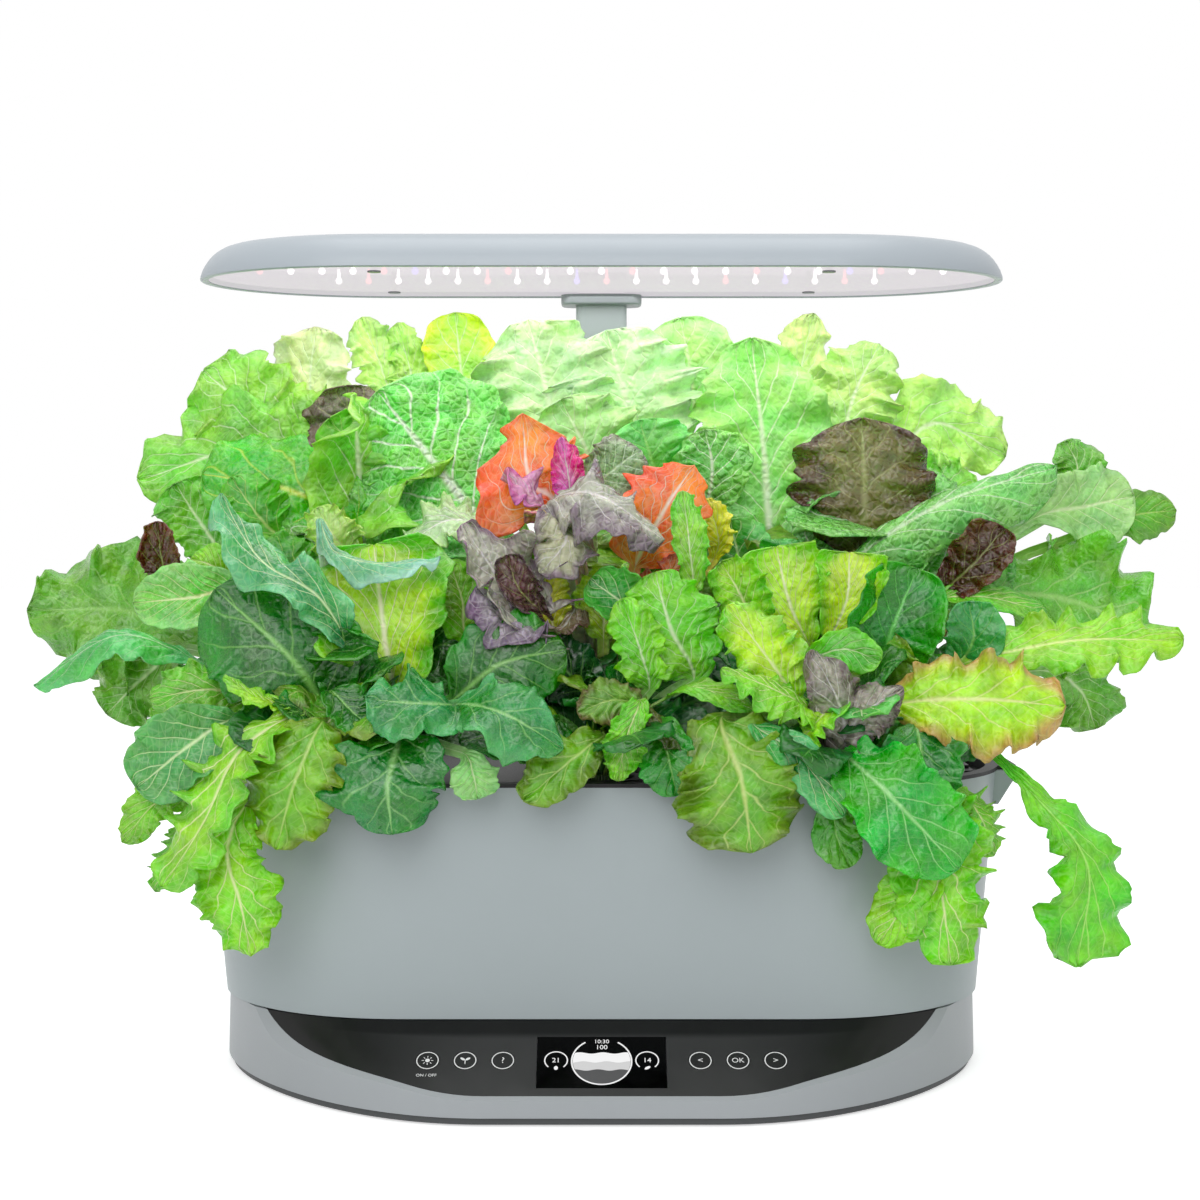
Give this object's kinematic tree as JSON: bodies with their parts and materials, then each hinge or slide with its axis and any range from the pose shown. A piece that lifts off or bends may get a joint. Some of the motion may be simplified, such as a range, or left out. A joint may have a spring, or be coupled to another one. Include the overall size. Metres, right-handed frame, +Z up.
{
  "type": "countertop hydroponic garden",
  "caption": "Countertop water bowl with leafy plants in pods, on a base with a sloping display panel, under a grow lamp on a telescoping mast.",
  "frame": {"origin": "centre of the base's footprint on the counter", "axes": "+Z up, -Y towards the control panel, +X to the right of someone facing the panel"},
  "size_m": [0.6374, 0.3246, 0.446],
  "materials": {
    "grey_body": "satin blue-grey moulded ABS",
    "dark_skirt": "fine textured dark grey plastic",
    "black_panel": "glossy black panel",
    "display_glass": "clear smoked display window",
    "display_face": "backlit display",
    "button_face": "black button with a light ring",
    "circuit_board": "green solder resist",
    "switch_metal": "tinned switch can",
    "rubber_feet": "matt rubber",
    "screw_steel": "zinc plated screws",
    "dock_plastic": "black connector moulding",
    "deck_black": "semi-gloss black deck",
    "pod_basket": "dark grey moulded basket",
    "pump_plastic": "black pump moulding",
    "filter_foam": "open cell filter foam",
    "float_foam": "closed cell float",
    "mast_plastic": "satin blue-grey mast",
    "guide_nylon": "grey nylon guide",
    "hood_plastic": "satin blue-grey hood",
    "lens_clear": "clear diffusing lens",
    "board_white": "white reflective LED board",
    "led_white": "white LED",
    "led_red": "red LED",
    "led_violet": "violet LED",
    "leaf_green": "waxy living leaf"
  },
  "bodies": {
    "base": {"base_shell": "grey_body", "base_pan": "dark_skirt", "rubber_feet": "rubber_feet", "base_screws": "screw_steel", "control_fascia": "black_panel", "display_window": "display_glass", "display_module": "display_face", "control_board": "circuit_board", "key_switches": "switch_metal", "power_socket": "dock_plastic", "dock_socket": "dock_plastic", "mast_column": "mast_plastic", "column_screws": "screw_steel", "column_guide": "guide_nylon"},
    "middle_stage": {"mast_middle": "mast_plastic", "middle_guide": "guide_nylon"},
    "lamp": {"mast_upper": "mast_plastic", "hood_bracket": "mast_plastic", "hood_shell": "hood_plastic", "led_board": "board_white", "leds_white": "led_white", "leds_red": "led_red", "leds_violet": "led_violet", "hood_lens": "lens_clear", "hood_screws": "screw_steel"},
    "bowl": {"bowl": "grey_body", "dock_plug": "dock_plastic", "pump_body": "pump_plastic", "pump_filter": "filter_foam", "pump_riser": "pump_plastic"},
    "impeller": {"pump_impeller": "pump_plastic"},
    "float": {"level_float": "float_foam"},
    "deck": {"grow_deck": "deck_black", "flap_pin": "screw_steel"},
    "flap": {"fill_flap": "deck_black"},
    "button_light": {"button_light": "button_face"},
    "button_quick_plant": {"button_quick_plant": "button_face"},
    "button_tips": {"button_tips": "button_face"},
    "button_left": {"button_left": "button_face"},
    "button_ok": {"button_ok": "button_face"},
    "button_right": {"button_right": "button_face"},
    "pod_1": {"pod_basket_1": "pod_basket", "plant_1": "leaf_green"},
    "pod_2": {"pod_basket_2": "pod_basket", "plant_2": "leaf_green"},
    "pod_3": {"pod_basket_3": "pod_basket", "plant_3": "leaf_green"},
    "pod_4": {"pod_basket_4": "pod_basket", "plant_4": "leaf_green"},
    "pod_5": {"pod_basket_5": "pod_basket", "plant_5": "leaf_green"},
    "pod_6": {"pod_basket_6": "pod_basket", "plant_6": "leaf_green"},
    "pod_7": {"pod_basket_7": "pod_basket", "plant_7": "leaf_green"},
    "pod_8": {"pod_basket_8": "pod_basket", "plant_8": "leaf_green"},
    "pod_9": {"pod_basket_9": "pod_basket", "plant_9": "leaf_green"}
  },
  "joints": [
    {"name": "middle_stage_slide", "type": "slide", "parent": "base", "child": "middle_stage", "axis": [0, 0, 1], "range_m": [0, 0.17]},
    {"name": "lamp_slide", "type": "slide", "parent": "middle_stage", "child": "lamp", "axis": [0, 0, 1], "range_m": [0, 0.17]},
    {"name": "bowl_lift", "type": "slide", "parent": "base", "child": "bowl", "axis": [0, 0, 1], "range_m": [0, 0.008]},
    {"name": "deck_lift", "type": "slide", "parent": "bowl", "child": "deck", "axis": [0, 0, 1], "range_m": [0, 0.008]},
    {"name": "fill_flap_hinge", "type": "hinge", "parent": "deck", "child": "flap", "pos_m": [0.169, -0.0103, 0.1596], "axis": [0, -1, 0], "range_deg": [0, 80]},
    {"name": "impeller_spin", "type": "hinge", "parent": "bowl", "child": "impeller", "pos_m": [-0.165, -0.01, 0.05], "axis": [0, 0, 1], "continuous": true},
    {"name": "float_rise", "type": "slide", "parent": "bowl", "child": "float", "axis": [0, 0, 1], "range_m": [0, 0.06]},
    {"name": "light_press", "type": "slide", "parent": "base", "child": "button_light", "axis": [0, 0.5299, -0.848], "range_m": [0, 0.0006], "stiffness_N_per_m": 800},
    {"name": "quick_plant_press", "type": "slide", "parent": "base", "child": "button_quick_plant", "axis": [0, 0.5299, -0.848], "range_m": [0, 0.0006], "stiffness_N_per_m": 800},
    {"name": "tips_press", "type": "slide", "parent": "base", "child": "button_tips", "axis": [0, 0.5299, -0.848], "range_m": [0, 0.0006], "stiffness_N_per_m": 800},
    {"name": "left_press", "type": "slide", "parent": "base", "child": "button_left", "axis": [0, 0.5299, -0.848], "range_m": [0, 0.0006], "stiffness_N_per_m": 800},
    {"name": "ok_press", "type": "slide", "parent": "base", "child": "button_ok", "axis": [0, 0.5299, -0.848], "range_m": [0, 0.0006], "stiffness_N_per_m": 800},
    {"name": "right_press", "type": "slide", "parent": "base", "child": "button_right", "axis": [0, 0.5299, -0.848], "range_m": [0, 0.0006], "stiffness_N_per_m": 800},
    {"name": "pod_1_lift", "type": "slide", "parent": "deck", "child": "pod_1", "axis": [0, 0, 1], "range_m": [0, 0.06]},
    {"name": "pod_2_lift", "type": "slide", "parent": "deck", "child": "pod_2", "axis": [0, 0, 1], "range_m": [0, 0.06]},
    {"name": "pod_3_lift", "type": "slide", "parent": "deck", "child": "pod_3", "axis": [0, 0, 1], "range_m": [0, 0.06]},
    {"name": "pod_4_lift", "type": "slide", "parent": "deck", "child": "pod_4", "axis": [0, 0, 1], "range_m": [0, 0.05]},
    {"name": "pod_5_lift", "type": "slide", "parent": "deck", "child": "pod_5", "axis": [0, 0, 1], "range_m": [0, 0.05]},
    {"name": "pod_6_lift", "type": "slide", "parent": "deck", "child": "pod_6", "axis": [0, 0, 1], "range_m": [0, 0.05]},
    {"name": "pod_7_lift", "type": "slide", "parent": "deck", "child": "pod_7", "axis": [0, 0, 1], "range_m": [0, 0.008]},
    {"name": "pod_8_lift", "type": "slide", "parent": "deck", "child": "pod_8", "axis": [0, 0, 1], "range_m": [0, 0.008]},
    {"name": "pod_9_lift", "type": "slide", "parent": "deck", "child": "pod_9", "axis": [0, 0, 1], "range_m": [0, 0.008]}
  ]
}
